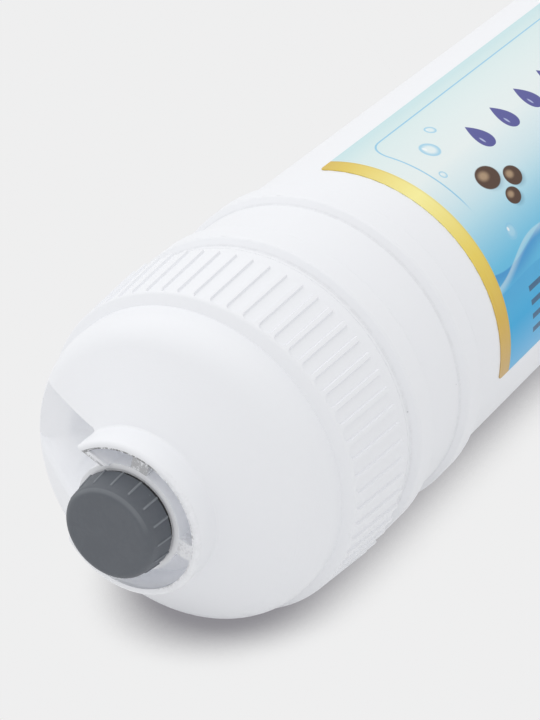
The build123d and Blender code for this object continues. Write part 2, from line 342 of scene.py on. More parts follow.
# Painted shade along the crease at the foot of each bead, with some grime in patches.
bead_feet = either(zone(where["Station"], 34.9, 35.2, 0.25), zone(where["Station"], 50.0, 50.3, 0.25))
foot_shade_and_grime = both(bead_feet, calc(tree, "ADD", 0.04, calc(tree, "MULTIPLY", patches, 0.06)))
colour = blend(tree, foot_shade_and_grime, colour, (0.30, 0.30, 0.31))
foot_dust = use_group(tree, specks, {"Place": place, "Per metre": 700.0, "Kept": 0.10, "Size": 0.10})["Mask"]
near_feet = either(zone(where["Station"], 34.6, 35.3, 0.5), zone(where["Station"], 49.7, 50.4, 0.6))
colour = blend(tree, calc(tree, "MULTIPLY", both(foot_dust, near_feet), 0.7), colour, (0.12, 0.12, 0.13))
colour = blend(tree, calc(tree, "MULTIPLY", dust, 0.6), colour, (0.15, 0.15, 0.16))
tree.links.new(colour, shader["Base Color"])
through_light = both(pocket, calc(tree, "SUBTRACT", 1.0, either(grey, black)))
tree.links.new(blend(tree, through_light, (0.0, 0.0, 0.0), (0.045, 0.046, 0.05)), shader["Emission Color"])
shader["Emission Strength"].default_value = 1.0

grain = use_group(tree, moulded_grain, {"Place": place, "Grain per metre": 4000.0, "Wander": 1.0})
roughness = calc(tree, "ADD", 0.36, calc(tree, "MULTIPLY", grain["Patch"], 0.12))
tree.links.new(calc(tree, "ADD", roughness, calc(tree, "MULTIPLY", either(grey, black), 0.3)), shader["Roughness"])
shader["IOR"].default_value = 1.49
bump(tree, shader, grain["Height"], 0.00001)
for name in ("end_cap", "canister"):
    finish_node(name, white_moulding)

# %% [markdown]
# ## Turned pieces with a screw thread
# The plugs and the ports have a quarter-inch pipe thread, too fine for the solids, where it is a plain cylinder.
# A screw modifier could wind a profile, but then the head, its ridges and the thread would be three shells.
# Here every ring of one lathe mesh may vary its radius with the angle, so one closed skin carries all of them.
# The angle is counted right-handed about the way out of the port, which makes the thread right-handed too.

# %% Lathe
def end_frame(end):
    """The rim's middle, the way out, and the two directions that an angle is counted from and towards."""
    outward = Vector((-1, 0, 0)) if end == "cap" else Vector((1, 0, 0))
    up = Vector((0, 0, 1))
    return outward * BODY_HALF + up * AXIS_Z, outward, up, outward.cross(up)


def lathe(name, end, rings, angles, closed):
    """Join rings of (station, radius or radius of angle) into one skin. A closed one is a ring-shaped tube."""
    middle, outward, up, side = end_frame(end)
    points = []
    faces = []
    count = len(angles)
    for station, radius in rings:
        for angle in angles:
            reach = radius(angle) if callable(radius) else radius
            spoke = up * math.cos(angle) + side * math.sin(angle)
            points.append(middle - outward * (station * MM) + spoke * (reach * MM))
    last = len(rings) if closed else len(rings) - 1
    for row in range(last):
        below = row * count
        above = (row + 1) % len(rings) * count
        for step in range(count):
            beside = (step + 1) % count
            faces.append((below + step, below + beside, above + beside, above + step))
    if not closed:
        faces.append(tuple(reversed(range(count))))
        faces.append(tuple(range(len(points) - count, len(points))))
    mesh = bpy.data.meshes.new(name)
    mesh.from_pydata(points, [], faces)
    shape = bmesh.new()
    shape.from_mesh(mesh)
    bmesh.ops.recalc_face_normals(shape, faces=shape.faces)
    for face in shape.faces:
        face.smooth = True
    for edge in shape.edges:
        edge.smooth = edge.calc_face_angle(0.0) < math.radians(50)
    shape.to_mesh(mesh)
    shape.free()
    piece = bpy.data.objects.new(name, mesh)
    bpy.context.scene.collection.objects.link(piece)
    print("turned:", name, len(mesh.polygons), "faces")
    return piece


print("lathe ready")

# %% [markdown]
# ## The thread's form
# A 55 degree pipe thread has rounded crests and roots. A clipped triangle wave of the distance along the axis, less
# one pitch for each turn, gives that form, and fades to the root at both ends of the thread.

# %% Thread form
PITCH = 1.337
THREAD_ROOT = 5.66
THREAD_CREST = 6.52


def thread_wave(station, angle):
    """0 at the root and 1 at the crest of the thread."""
    phase = (-station / PITCH - angle / (2 * math.pi)) % 1.0
    height = 1 - abs(2 * phase - 1)
    rise = min(1.0, max(0.0, (height - 0.14) / 0.72))
    return rise * rise * (3 - 2 * rise)


def fade(value, low, high):
    """0 at low and 1 at high, smooth between them."""
    share = min(1.0, max(0.0, (value - low) / (high - low)))
    return share * share * (3 - 2 * share)


def steps(low, high, size):
    """Evenly spaced values from low to high."""
    count = max(1, round((high - low) / size))
    return [low + (high - low) * k / count for k in range(count + 1)]


print("thread: pitch", PITCH, "depth", round(THREAD_CREST - THREAD_ROOT, 2), "mm")

# %% [markdown]
# ## Soft corners in the trough
# The trough beside the port makes room for the arm of an elbow fitting. A mould maker blends its floor, its sloping
# side and its lip into each other, while the solid has plain faces there. This skin lies a hair in front of those
# faces and is a height field: the distance in from the rim is a smooth minimum or maximum of the faces, so all
# corners flow.

# %% Trough skin
COLLAR_FOOT, COLLAR_RADIUS = 4.5, 11.9
DOME_CORNER, DOME_RADIUS, DOME_ROUND = 12.4, 23.7, 6.0
TROUGH_FLOOR, TROUGH_BOTTOM, TROUGH_TOP = 12.0, -0.159, 9.495
SIDE_SLOPE, WELL_DEPTH = 0.57, 1.6
DOME_TURN = math.atan2(DOME_RADIUS - COLLAR_RADIUS, DOME_CORNER - COLLAR_FOOT)
DOME_TANGENT = DOME_ROUND * math.tan(DOME_TURN / 2)


def dome_station(radius):
    """The dome's own surface: a cone, then the arc at its corner."""
    if radius < DOME_RADIUS - DOME_TANGENT * math.sin(DOME_TURN):
        return COLLAR_FOOT + (radius - COLLAR_RADIUS) / math.tan(DOME_TURN)
    over = min(DOME_ROUND, radius - DOME_RADIUS + DOME_ROUND)
    return DOME_CORNER + DOME_TANGENT - math.sqrt(DOME_ROUND**2 - over**2)


def soft_min(first, second, width):
    """The smaller of two values, with the corner between them rounded over a width."""
    near = max(width - abs(first - second), 0.0)
    return min(first, second) - near * near / (4 * max(width, 0.001))


def skin_station(side, level):
    """The skin's distance in from the rim at a place across the cap, and how far it lies out on the dome."""
    radius = math.hypot(side, level)
    bowl = (WELL_DEPTH - 0.02) * fade(radius, 18.0, 14.6) * fade(level, TROUGH_BOTTOM, TROUGH_BOTTOM + 2.6)
    slope = TROUGH_FLOOR + (level - TROUGH_BOTTOM) / SIDE_SLOPE
    width = 4.0 * fade(radius, 22.0, 16.0) * fade(radius, 12.6, 14.5)
    inside = soft_min(TROUGH_FLOOR + bowl, slope, width)
    corner = min(0.9, 0.5 * max(0.0, TROUGH_FLOOR - dome_station(math.hypot(side, TROUGH_TOP))))
    short = max(0.0, corner - max(0.0, TROUGH_TOP - level))
    inside -= corner - math.sqrt(corner**2 - short**2)
    dome = dome_station(radius)
    outside = dome - inside
    sunk = max(fade(outside, 2.2, 2.9), fade(radius, 19.0, 22.1), fade(radius, 13.2, 12.7))
    return -soft_min(-inside, -dome, 1.5) - 0.02 + 0.04 * sunk, outside


skin_points = []
skin_index = {}
skin_faces = []
side_steps = steps(11.0, 22.4, 0.2)
level_steps = steps(-9.0, TROUGH_TOP + 0.05, 0.2)
for column, side in enumerate(side_steps):
    for row, level in enumerate(level_steps):
        station, outside = skin_station(side, level)
        if 12.6 < math.hypot(side, level) < 22.2 and outside < 3.0:
            skin_index[column, row] = len(skin_points)
            skin_points.append((RIM_X + station * MM, side * MM, AXIS_Z + level * MM))
for column, row in skin_index:
    corners = [(column, row), (column, row + 1), (column + 1, row + 1), (column + 1, row)]
    if all(corner in skin_index for corner in corners):
        skin_faces.append([skin_index[corner] for corner in corners])
skin_mesh = bpy.data.meshes.new("trough_skin")
skin_mesh.from_pydata(skin_points, [], skin_faces)
skin_mesh.polygons.foreach_set("use_smooth", [True] * len(skin_mesh.polygons))
trough_skin = bpy.data.objects.new("trough_skin", skin_mesh)
bpy.context.scene.collection.objects.link(trough_skin)
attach(trough_skin, "housing")
skin_mesh.materials.append(white_moulding)
print("trough skin:", len(skin_faces), "faces")

# %% [markdown]
# ## Weld seam
# The cap is spin-welded to the canister. The melt fills the narrow gap between their ends nearly to the top, so the
# seam is a faint line and no open slit. It is turned like the other round pieces, with a slightly hollow outside.

# %% Weld seam
SEAM_START, SEAM_END = 34.21, 34.44
SEAM_FOOT, SEAM_TOP, SEAM_HOLLOW = 23.55, 24.97, 24.92
seam_rings = [
    (SEAM_START, SEAM_FOOT),
    (SEAM_START, SEAM_TOP),
    ((SEAM_START + SEAM_END) / 2, SEAM_HOLLOW),
    (SEAM_END, SEAM_TOP),
    (SEAM_END, SEAM_FOOT),
]
weld_seam = lathe("weld_seam", "cap", seam_rings, [2 * math.pi * k / 180 for k in range(180)], closed=True)
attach(weld_seam, "housing")
weld_seam.data.materials.append(white_moulding)

# %% [markdown]
# ## Screw plugs
# Each plug is one small moulding: a head with a rounded edge and sixteen fine finger ridges, a groove for the seal
# ring and a threaded shank. More angles are spent on the ridges than between them, so that they stay crisp.

# %% Plugs
FACE, SEAT, GROOVE_END, TIP = -4.3, 0.1, 1.3, 11.0
FACE_RADIUS, BASE_RADIUS, GROOVE_RADIUS = 7.0, 7.48, 5.4
EDGE_ROUND = 1.0
RIDGES = 16
RIDGE_HEIGHT = 0.17
RIDGE_START = FACE + 1.4


def head_radius(station):
    """The plain taper of the plug's head."""
    return FACE_RADIUS + (station - FACE) * (BASE_RADIUS - FACE_RADIUS) / (SEAT - FACE)


def ridged(station):
    """The head's radius at a station, with a rounded ridge at each of the even angles."""
    rise = RIDGE_HEIGHT * fade(station, RIDGE_START - 0.25, RIDGE_START + 0.15)

    def radius(angle):
        pitch = 2 * math.pi / RIDGES
        offset = abs((angle + pitch / 2) % pitch - pitch / 2) * FACE_RADIUS
        return head_radius(station) + rise * (1 - fade(offset, 0.06, 0.24))

    return radius


def male_thread(station):
    """The shank's radius at a station. The thread runs out at the groove and at the tip."""
    full = fade(station, GROOVE_END, GROOVE_END + 0.7) * fade(station, TIP - 0.1, TIP - 0.9)
    end = (THREAD_CREST - 0.8) if station >= TIP else THREAD_ROOT
    return lambda angle: end + (THREAD_CREST - THREAD_ROOT) * full * thread_wave(station, angle)


ridge_offsets = [-11.25, -7.5, -4.5, -2.6, -1.9, -1.2, -0.6, 0.0, 0.6, 1.2, 1.9, 2.6, 4.5, 7.5]
plug_angles = [math.radians(k * 360 / RIDGES + offset) for k in range(RIDGES) for offset in ridge_offsets]
plug_rings = [(FACE, 2.0), (FACE, 4.6), (FACE, FACE_RADIUS - EDGE_ROUND - 0.25)]
for turn_down in steps(0, 86, 12):
    arc = math.radians(turn_down)
    station = FACE + EDGE_ROUND * (1 - math.cos(arc))
    plug_rings.append((station, head_radius(station) - EDGE_ROUND * (1 - math.sin(arc))))
plug_rings += [(station, ridged(station)) for station in steps(FACE + EDGE_ROUND + 0.1, SEAT - 0.02, 0.2)]
plug_rings += [(SEAT, BASE_RADIUS - 0.02), (SEAT, 6.4), (SEAT, GROOVE_RADIUS), (GROOVE_END, GROOVE_RADIUS)]
plug_rings += [(station, male_thread(station)) for station in steps(GROOVE_END + 0.01, TIP, PITCH / 12)]
plug_rings += [(TIP, 3.0)]

plugs = {}
for end in ("cap", "closed_end"):
    plugs[end] = lathe(end + "_screw_plug", end, plug_rings, plug_angles, closed=False)
    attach(plugs[end], end + "_plug")
    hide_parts(end + "_plug")

# %% [markdown]
# ## Port threads
# The matching thread inside each port is moulded with the cap. It is a thin threaded sleeve against the wall of the
# solid's bore, a hair wider than the plug's thread, so the plug runs out through it without touching.

# %% Port threads
RUNNING_GAP = 0.06
SLEEVE_START, SLEEVE_END, SLEEVE_RADIUS = 1.45, 12.4, 6.575


def female_thread(station):
    """The inner radius of the sleeve. It opens out to the bore at both ends."""
    full = fade(station, SLEEVE_START, SLEEVE_START + 0.6) * fade(station, SLEEVE_END, SLEEVE_END - 0.5)
    open_radius = SLEEVE_RADIUS - 0.01

    def radius(angle):
        wall = THREAD_ROOT + RUNNING_GAP + (THREAD_CREST - THREAD_ROOT) * thread_wave(station, angle)
        return open_radius - full * (open_radius - min(wall, open_radius))

    return radius


sleeve_angles = [2 * math.pi * k / 96 for k in range(96)]
sleeve_rings = [(station, female_thread(station)) for station in steps(SLEEVE_START, SLEEVE_END, PITCH / 12)]
sleeve_rings += [(SLEEVE_END, SLEEVE_RADIUS), (SLEEVE_START, SLEEVE_RADIUS)]
port_threads = {}
for end in ("cap", "closed_end"):
    port_threads[end] = lathe(end + "_port_thread", end, sleeve_rings, sleeve_angles, closed=True)
    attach(port_threads[end], "housing")
    port_threads[end].data.materials.append(white_moulding)

# %% [markdown]
# ## Slate plastic
# The plugs are dark grey, with a satin grain that is coarser than the cap's. Handling has polished and paled the
# crests of the ridges, which the distance from the plain taper picks out. The edge of the face is paler on its upper
# side, a painted highlight.

# %% Slate plastic
slate_plastic, tree, shader, place = start_material("slate_plastic")
where = use_group(tree, polar_place, {"Place": place})
patches = use_group(tree, smudge, {"Place": place, "Per metre": 260.0, "Cover": 0.5})["Mask"]
dust = use_group(tree, specks, {"Place": place, "Per metre": 900.0, "Kept": 0.10, "Size": 0.12})["Mask"]
taper_rise = (BASE_RADIUS - FACE_RADIUS) / (SEAT - FACE)
past_face = calc(tree, "SUBTRACT", where["From end"], FACE)
plain = calc(tree, "ADD", FACE_RADIUS, calc(tree, "MULTIPLY", past_face, taper_rise))
crests = ramp(tree, calc(tree, "SUBTRACT", where["Radius"], plain), 0.05, 0.15)
# Painted highlight: the edge of the face is paled only on its upper side, where the light from above falls.
edge_highlight = both(zone(where["From end"], FACE + 0.12, FACE + 0.45, 0.15), ramp(tree, where["Radius"], 6.3, 6.7))
edge_highlight = both(edge_highlight, zone(where["Angle"], 55.0, 135.0, 30.0))
rub_and_sheen_patches = use_group(tree, smudge, {"Place": place, "Per metre": 1500.0, "Cover": 0.8})["Mask"]
rub_and_sheen_share = calc(tree, "ADD", 0.55, calc(tree, "MULTIPLY", rub_and_sheen_patches, 0.45))
wear_and_highlight = both(either(crests, calc(tree, "MULTIPLY", edge_highlight, 0.45)), rub_and_sheen_share)
colour = blend(tree, calc(tree, "MULTIPLY", patches, 0.4), (0.104, 0.115, 0.133), (0.118, 0.130, 0.148))
colour = blend(tree, calc(tree, "MULTIPLY", dust, 0.2), colour, (0.3, 0.31, 0.32))
colour = blend(tree, calc(tree, "MULTIPLY", wear_and_highlight, 0.55), colour, (0.30, 0.32, 0.34))
tree.links.new(colour, shader["Base Color"])
grain = use_group(tree, moulded_grain, {"Place": place, "Grain per metre": 3000.0, "Wander": 0.3})
tree.links.new(calc(tree, "ADD", 0.42, calc(tree, "MULTIPLY", grain["Patch"], 0.15)), shader["Roughness"])
bump(tree, shader, grain["Height"], 0.00002)
for end in ("cap", "closed_end"):
    plugs[end].data.materials.append(slate_plastic)
    finish_node(end + "_plug", slate_plastic)

# %% [markdown]
# ## Rubber seals
# The seal rings sit under the heads and show only when a plug is unscrewed. Rubber is nearly black and matt, with a
# bloom of pale powder in patches.

# %% Seal rubber
seal_rubber, tree, shader, place = start_material("seal_rubber")
bloom = use_group(tree, smudge, {"Place": place, "Per metre": 800.0, "Cover": 0.6})["Mask"]
colour = blend(tree, calc(tree, "MULTIPLY", bloom, 0.4), (0.018, 0.018, 0.019), (0.05, 0.05, 0.052))
tree.links.new(colour, shader["Base Color"])
tree.links.new(calc(tree, "ADD", 0.62, calc(tree, "MULTIPLY", bloom, 0.2)), shader["Roughness"])
grain = use_group(tree, moulded_grain, {"Place": place, "Grain per metre": 4500.0, "Wander": 0.2})
bump(tree, shader, grain["Height"], 0.00003)
for end in ("cap", "closed_end"):
    finish_node(end + "_plug_seal", seal_rubber)

# %% [markdown]
# ## The filling: screens
# Nothing inside shows while the cartridge is whole, but a cutaway would show it, so it is finished too. The slotted
# screens are natural plastic, a little uneven in tone. The moulded grain group gives both the tone and the bump.

# %% Screen plastic
screen_plastic, tree, shader, place = start_material("screen_plastic")
grain = use_group(tree, moulded_grain, {"Place": place, "Grain per metre": 2500.0, "Wander": 0.6})
colour = blend(tree, grain["Patch"], (0.66, 0.67, 0.66), (0.78, 0.78, 0.76))
tree.links.new(colour, shader["Base Color"])
tree.links.new(calc(tree, "ADD", 0.38, calc(tree, "MULTIPLY", grain["Patch"], 0.15)), shader["Roughness"])
bump(tree, shader, grain["Height"], 0.00002)
for end in ("cap", "closed_end"):
    finish_node(end + "_screen", screen_plastic)

# %% [markdown]
# ## The filling: felt pads
# The pads are pressed white fibre. Hair strands would be far too heavy for a hidden piece, so a noise that is
# stretched along one direction stands for the matted fibres, in the colour and as a bump.

# %% Pressed fibre
pressed_fibre, tree, shader, place = start_material("pressed_fibre")
stretched = put(tree, "ShaderNodeMapping", {"Vector": place, "Scale": (3.0, 1.0, 0.35)}).outputs[0]
fibre_look = {"Vector": stretched, "Scale": 2600.0, "Detail": 4.0, "Roughness": 0.7}
hairs = put(tree, "ShaderNodeTexNoise", fibre_look).outputs["Fac"]
tree.links.new(blend(tree, hairs, (0.62, 0.61, 0.57), (0.86, 0.85, 0.81)), shader["Base Color"])
tree.links.new(calc(tree, "ADD", 0.8, calc(tree, "MULTIPLY", hairs, 0.15)), shader["Roughness"])
bump(tree, shader, hairs, 0.0002)
for end in ("cap", "closed_end"):
    finish_node(end + "_felt_pad", pressed_fibre)

# %% [markdown]
# ## The filling: carbon bed
# The bed is packed black granules. Modelling each one would take millions of faces. A Voronoi texture splits the
# surface into grains instead, gives each its own tone and gloss, and raises its middle.

# %% Carbon granules
carbon_granules, tree, shader, place = start_material("carbon_granules")
cells = put(tree, "ShaderNodeTexVoronoi", {"Vector": place, "Scale": 900.0, "Randomness": 1.0})
dice = put(tree, "ShaderNodeSeparateColor", {0: cells.outputs["Color"]}).outputs
tree.links.new(blend(tree, dice["Red"], (0.010, 0.010, 0.011), (0.035, 0.035, 0.037)), shader["Base Color"])
tree.links.new(calc(tree, "ADD", 0.45, calc(tree, "MULTIPLY", dice["Green"], 0.4)), shader["Roughness"])
bump(tree, shader, calc(tree, "SUBTRACT", 1.0, cells.outputs["Distance"]), 0.0006)
finish_node("carbon_bed", carbon_granules)

# %% [markdown]
# ## Label sheet
# The label is a film glued to the tube. The solid is a plain curved plate a hair above the tube, so it is replaced by a
# sheet whose edges come down to the tube, with rounded corners, as a die cuts them.

# %% Label sheet
LABEL_START = (label_low.x - RIM_X) / MM
LABEL_LENGTH = (label_high.x - label_low.x) / MM
LABEL_ANGLE, LABEL_ARC = 75.0, 112.0
TUBE_RADIUS, LABEL_RADIUS = 25.0, 25.12
LABEL_WIDTH = math.radians(LABEL_ARC) * LABEL_RADIUS
CORNER = 0.8
FILM_EDGE = 0.06


def on_tube(along, around, radius):
    """A point on the label, from millimetres along it and around it."""
    angle = math.radians(LABEL_ANGLE) + around / LABEL_RADIUS
    return (RIM_X + (LABEL_START + along) * MM, radius * MM * math.cos(angle), AXIS_Z + radius * MM * math.sin(angle))


def inset_at(along):
    """How far the rounded corners draw the long sides in at a place along the label."""
    past = max(0.0, CORNER - min(along, LABEL_LENGTH - along))
    return CORNER - math.sqrt(CORNER**2 - past**2)


end_steps = [CORNER * (1 - math.cos(math.radians(a))) for a in (8, 25, 45, 65, 90)]
along_steps = end_steps + steps(end_steps[-1] + 5, LABEL_LENGTH - end_steps[-1] - 5, 6.0)
along_steps += [LABEL_LENGTH - value for value in reversed(end_steps)]
across_count = 96
label_points = []
for along in along_steps:
    inset = inset_at(along)
    arounds = steps(inset + FILM_EDGE, LABEL_WIDTH - inset - FILM_EDGE, (LABEL_WIDTH - 2 * inset) / across_count)
    row = [(inset, TUBE_RADIUS + 0.005)] + [(value, LABEL_RADIUS) for value in arounds]
    row += [(LABEL_WIDTH - inset, TUBE_RADIUS + 0.005)]
    label_points.append([on_tube(along, value, radius) for value, radius in row])
for index, along in ((0, 0.0), (-1, LABEL_LENGTH)):
    foot = [
        on_tube(along, CORNER + (LABEL_WIDTH - 2 * CORNER) * k / (len(label_points[0]) - 1), TUBE_RADIUS + 0.005)
        for k in range(len(label_points[0]))
    ]
    label_points.insert(0 if index == 0 else len(label_points), foot)
columns = len(label_points[0])
label_mesh = bpy.data.meshes.new("printed_label")
label_faces = [
    (row * columns + step, row * columns + step + 1, (row + 1) * columns + step + 1, (row + 1) * columns + step)
    for row in range(len(label_points) - 1)
    for step in range(columns - 1)
]
label_mesh.from_pydata([point for row in label_points for point in row], [], label_faces)
shape = bmesh.new()
shape.from_mesh(label_mesh)
for face in shape.faces:
    face.smooth = True
for edge in shape.edges:
    edge.smooth = edge.calc_face_angle(0.0) < math.radians(40)
shape.to_mesh(label_mesh)
shape.free()
label_sheet = bpy.data.objects.new("printed_label", label_mesh)
bpy.context.scene.collection.objects.link(label_sheet)
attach(label_sheet, "housing")
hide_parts("label")
print("label sheet:", round(LABEL_LENGTH), "by", round(LABEL_WIDTH, 1), "mm,", len(label_mesh.polygons), "faces")

# %% [markdown]
# ## Shapes for print
# A print is drawn as masks on two measures: millimetres along the label and around it. A soft-edged ellipse is the
# brush for all of it: two of them make a ring, many of them a spray of bubbles.

# %% Group: printed spot
printed_spot, at, out = start_group(
    "printed_spot",
    [
        ("Along", "value", 0.0),
        ("Around", "value", 0.0),
        ("Centre along", "value", 0.0),
        ("Centre around", "value", 0.0),
        ("Half length", "value", 1.0),
        ("Half width", "value", 1.0),
        ("Soft", "value", 0.1),
    ],
    [("Mask", "value"), ("Reach", "value")],
)
off_along = calc(printed_spot, "SUBTRACT", at["Along"], at["Centre along"])
off_around = calc(printed_spot, "SUBTRACT", at["Around"], at["Centre around"])
x_share = calc(printed_spot, "DIVIDE", off_along, at["Half length"])
y_share = calc(printed_spot, "DIVIDE", off_around, at["Half width"])
reach = calc(
    printed_spot,
    "SQRT",
    calc(printed_spot, "ADD", calc(printed_spot, "POWER", x_share, 2.0), calc(printed_spot, "POWER", y_share, 2.0)),
)
rim_low = calc(printed_spot, "SUBTRACT", 1.0, at["Soft"])
printed_spot.links.new(ramp(printed_spot, reach, 1.0, rim_low), out["Mask"])
printed_spot.links.new(reach, out["Reach"])
print("group:", printed_spot.name)

# %% [markdown]
# ## Label print
# The print is a pale sky that deepens to a strong blue below, with rolling waves, bubbles, a row of drops, a few dark
# pebbles and fine ruled lines, inside a thin frame line and a gold band at each end. Each is a field of colour laid
# over the one before, from the back of the picture to the front.

# %% Label measures
label_film, tree, shader, place = start_material("label_film")
where = use_group(tree, polar_place, {"Place": place})
along = calc(tree, "SUBTRACT", where["Station"], LABEL_START)
around = calc(
    tree, "MULTIPLY", calc(tree, "SUBTRACT", where["Angle"], LABEL_ANGLE), math.radians(1) * LABEL_RADIUS
)
across_share = calc(tree, "DIVIDE", around, LABEL_WIDTH)
from_near_end = calc(tree, "MINIMUM", along, calc(tree, "SUBTRACT", LABEL_LENGTH, along))


def colour_ramp(value, stops):
    """A ramp of colours over a value from 0 to 1."""
    made = put(tree, "ShaderNodeValToRGB", {0: value})
    while len(made.color_ramp.elements) < len(stops):
        made.color_ramp.elements.new(0.5)
    for element, (position, colour) in zip(made.color_ramp.elements, stops):
        element.position = position
        element.color = (*colour, 1.0)
    return made.outputs["Color"]


def spot(centre_along, centre_around, half_length, half_width, soft=0.1, measure=None):
    """A soft-edged ellipse on the label."""
    inputs = {
        "Along": along if measure is None else measure,
        "Around": around,
        "Centre along": centre_along,
        "Centre around": centre_around,
        "Half length": half_length,
        "Half width": half_width,
        "Soft": soft,
    }
    return use_group(tree, printed_spot, inputs)["Mask"]


def less(first, second):
    """A mask with another one cut out of it."""
    return calc(tree, "SUBTRACT", first, second, clamp=True)


def wave(middle, height, length, shift):
    """A line that rolls along the label: a long wave and a shorter one on it."""
    long_wave = calc(tree, "SINE", calc(tree, "ADD", calc(tree, "MULTIPLY", along, 2 * math.pi / length), shift))
    short_wave = calc(tree, "SINE", calc(tree, "MULTIPLY", along, 2 * math.pi / (length * 0.37)))
    long_part = calc(tree, "MULTIPLY", long_wave, height)
    short_part = calc(tree, "MULTIPLY", short_wave, height * 0.25)
    return calc(tree, "ADD", middle, calc(tree, "ADD", long_part, short_part))


print("print area:", round(LABEL_LENGTH), "mm along,", round(LABEL_WIDTH, 1), "mm around")

# %% [markdown]
# ## Sky and waves
# The ground of the print is one ramp of colour around the tube, pale above and deep blue below. Each wave is the side
# of a rolling line: full colour at its crest, fading out below it. Sine waves keep the crests smooth close up.

# %% Label ground and waves
sky_stops = [
    (0.0, (0.56, 0.77, 0.80)),
    (0.10, (0.70, 0.83, 0.83)),
    (0.30, (0.80, 0.875, 0.865)),
    (0.50, (0.44, 0.73, 0.85)),
    (0.66, (0.14, 0.54, 0.80)),
    (0.85, (0.02, 0.41, 0.76)),
    (1.0, (0.15, 0.50, 0.82)),
]
colour = colour_ramp(across_share, sky_stops)
pale = both(spot(30.0, 18.0, 60.0, 17.0, 0.9), ramp(tree, around, 30.0, 20.0))
colour = blend(tree, calc(tree, "MULTIPLY", pale, 0.35), colour, (0.86, 0.92, 0.93))
waves = (
    (30.5, 2.6, 70.0, 0.6, 3.4, 0.75, (0.03, 0.26, 0.62)),
    (33.5, 2.0, 55.0, 2.2, 1.6, 0.55, (0.60, 0.82, 0.90)),
    (37.5, 1.8, 64.0, 4.0, 4.5, 0.50, (0.05, 0.36, 0.70)),
)
for middle, height, length, shift, depth, strength, paint in waves:
    below = calc(tree, "SUBTRACT", around, wave(middle, height, length, shift))
    crest = both(ramp(tree, below, -0.15, 0.15), ramp(tree, below, depth, 0.2))
    colour = blend(tree, calc(tree, "MULTIPLY", crest, strength), colour, paint)
print("sky stops:", len(sky_stops), "waves:", len(waves))

# %% [markdown]
# ## Bubbles
# A printed bubble is a pale disc, a darker shell and a small glint towards the light. Three soft ellipses give that,
# and a short list places the bubbles one by one, because an even scatter would look like a pattern.

# %% Bubbles on the label
bubbles = (
    (14.0, 11.5, 1.9), (19.5, 8.6, 1.1), (9.8, 16.2, 0.8), (46.0, 26.0, 2.4), (52.5, 23.0, 1.3),
    (12.5, 29.5, 1.5), (68.0, 27.0, 1.8), (86.0, 24.5, 2.3), (92.0, 27.5, 1.1), (118.0, 25.5, 2.0),
)
for centre_along, centre_around, size in bubbles:
    body = spot(centre_along, centre_around, size, size, 0.15)
    shell = less(body, spot(centre_along, centre_around, size * 0.86, size * 0.86, 0.6))
    glint = spot(centre_along - size * 0.3, centre_around - size * 0.35, size * 0.22, size * 0.3, 0.5)
    colour = blend(tree, calc(tree, "MULTIPLY", body, 0.25), colour, (0.80, 0.91, 0.95))
    colour = blend(tree, calc(tree, "MULTIPLY", shell, 0.7), colour, (0.20, 0.56, 0.80))
    colour = blend(tree, calc(tree, "MULTIPLY", glint, 0.9), colour, (0.93, 0.96, 0.97))
print("bubbles:", len(bubbles))

# %% [markdown]
# ## Drops, pebbles and ruled lines
# The drops stand in a row, so one drop is drawn and the measure along the label starts again for each. Its outline is
# a half width for each place from tip to foot. The pebbles are dark ellipses with a shade and a lighter side. The
# ruled lines are plain bars, and a sine of the row's number gives each its own length.

# %% Drops, pebbles and ruled lines
DROP_START, DROP_PITCH, DROP_COUNT = 20.0, 8.5, 13
drop_row = calc(tree, "FLOORED_MODULO", calc(tree, "SUBTRACT", along, DROP_START), DROP_PITCH)
drop_zone = zone(along, DROP_START, DROP_START + DROP_COUNT * DROP_PITCH, 0.01)
drop_share = calc(tree, "DIVIDE", calc(tree, "SUBTRACT", around, 12.2), 5.6, clamp=True)
taper = calc(tree, "POWER", calc(tree, "SUBTRACT", 1.0, drop_share), 0.5)
drop_half = calc(tree, "MULTIPLY", calc(tree, "MULTIPLY", drop_share, taper), 4.9)
drop_off = calc(tree, "ABSOLUTE", calc(tree, "SUBTRACT", drop_row, DROP_PITCH / 2))
drops = both(ramp(tree, calc(tree, "SUBTRACT", drop_half, drop_off), -0.08, 0.12), drop_zone)
drops = both(drops, zone(around, 12.3, 17.75, 0.05))
colour = blend(tree, calc(tree, "MULTIPLY", drops, 0.95), colour, (0.055, 0.055, 0.30))
shine = spot(DROP_PITCH / 2 - 0.7, 15.9, 0.28, 0.8, 0.5, measure=drop_row)
colour = blend(tree, both(both(shine, drop_zone), drops), colour, (0.45, 0.50, 0.75))

pebbles = (
    (16.5, 21.0, 3.0, 2.2), (21.6, 23.2, 2.3, 1.8), (18.3, 25.6, 2.0, 1.5),
    (100.5, 29.0, 2.8, 2.1), (105.4, 31.0, 2.2, 1.7),
)
for centre_along, centre_around, half_length, half_width in pebbles:
    shade = spot(centre_along + 0.5, centre_around + 0.7, half_length * 1.08, half_width * 1.08, 0.5)
    stone = spot(centre_along, centre_around, half_length, half_width, 0.1)
    lit_along = centre_along - half_length * 0.2
    lit_around = centre_around - half_width * 0.25
    lit = spot(lit_along, lit_around, half_length * 0.62, half_width * 0.55, 0.75)
    colour = blend(tree, calc(tree, "MULTIPLY", shade, 0.35), colour, (0.06, 0.20, 0.32))
    colour = blend(tree, stone, colour, (0.085, 0.040, 0.022))
    colour = blend(tree, calc(tree, "MULTIPLY", both(lit, stone), 0.75), colour, (0.52, 0.36, 0.22))

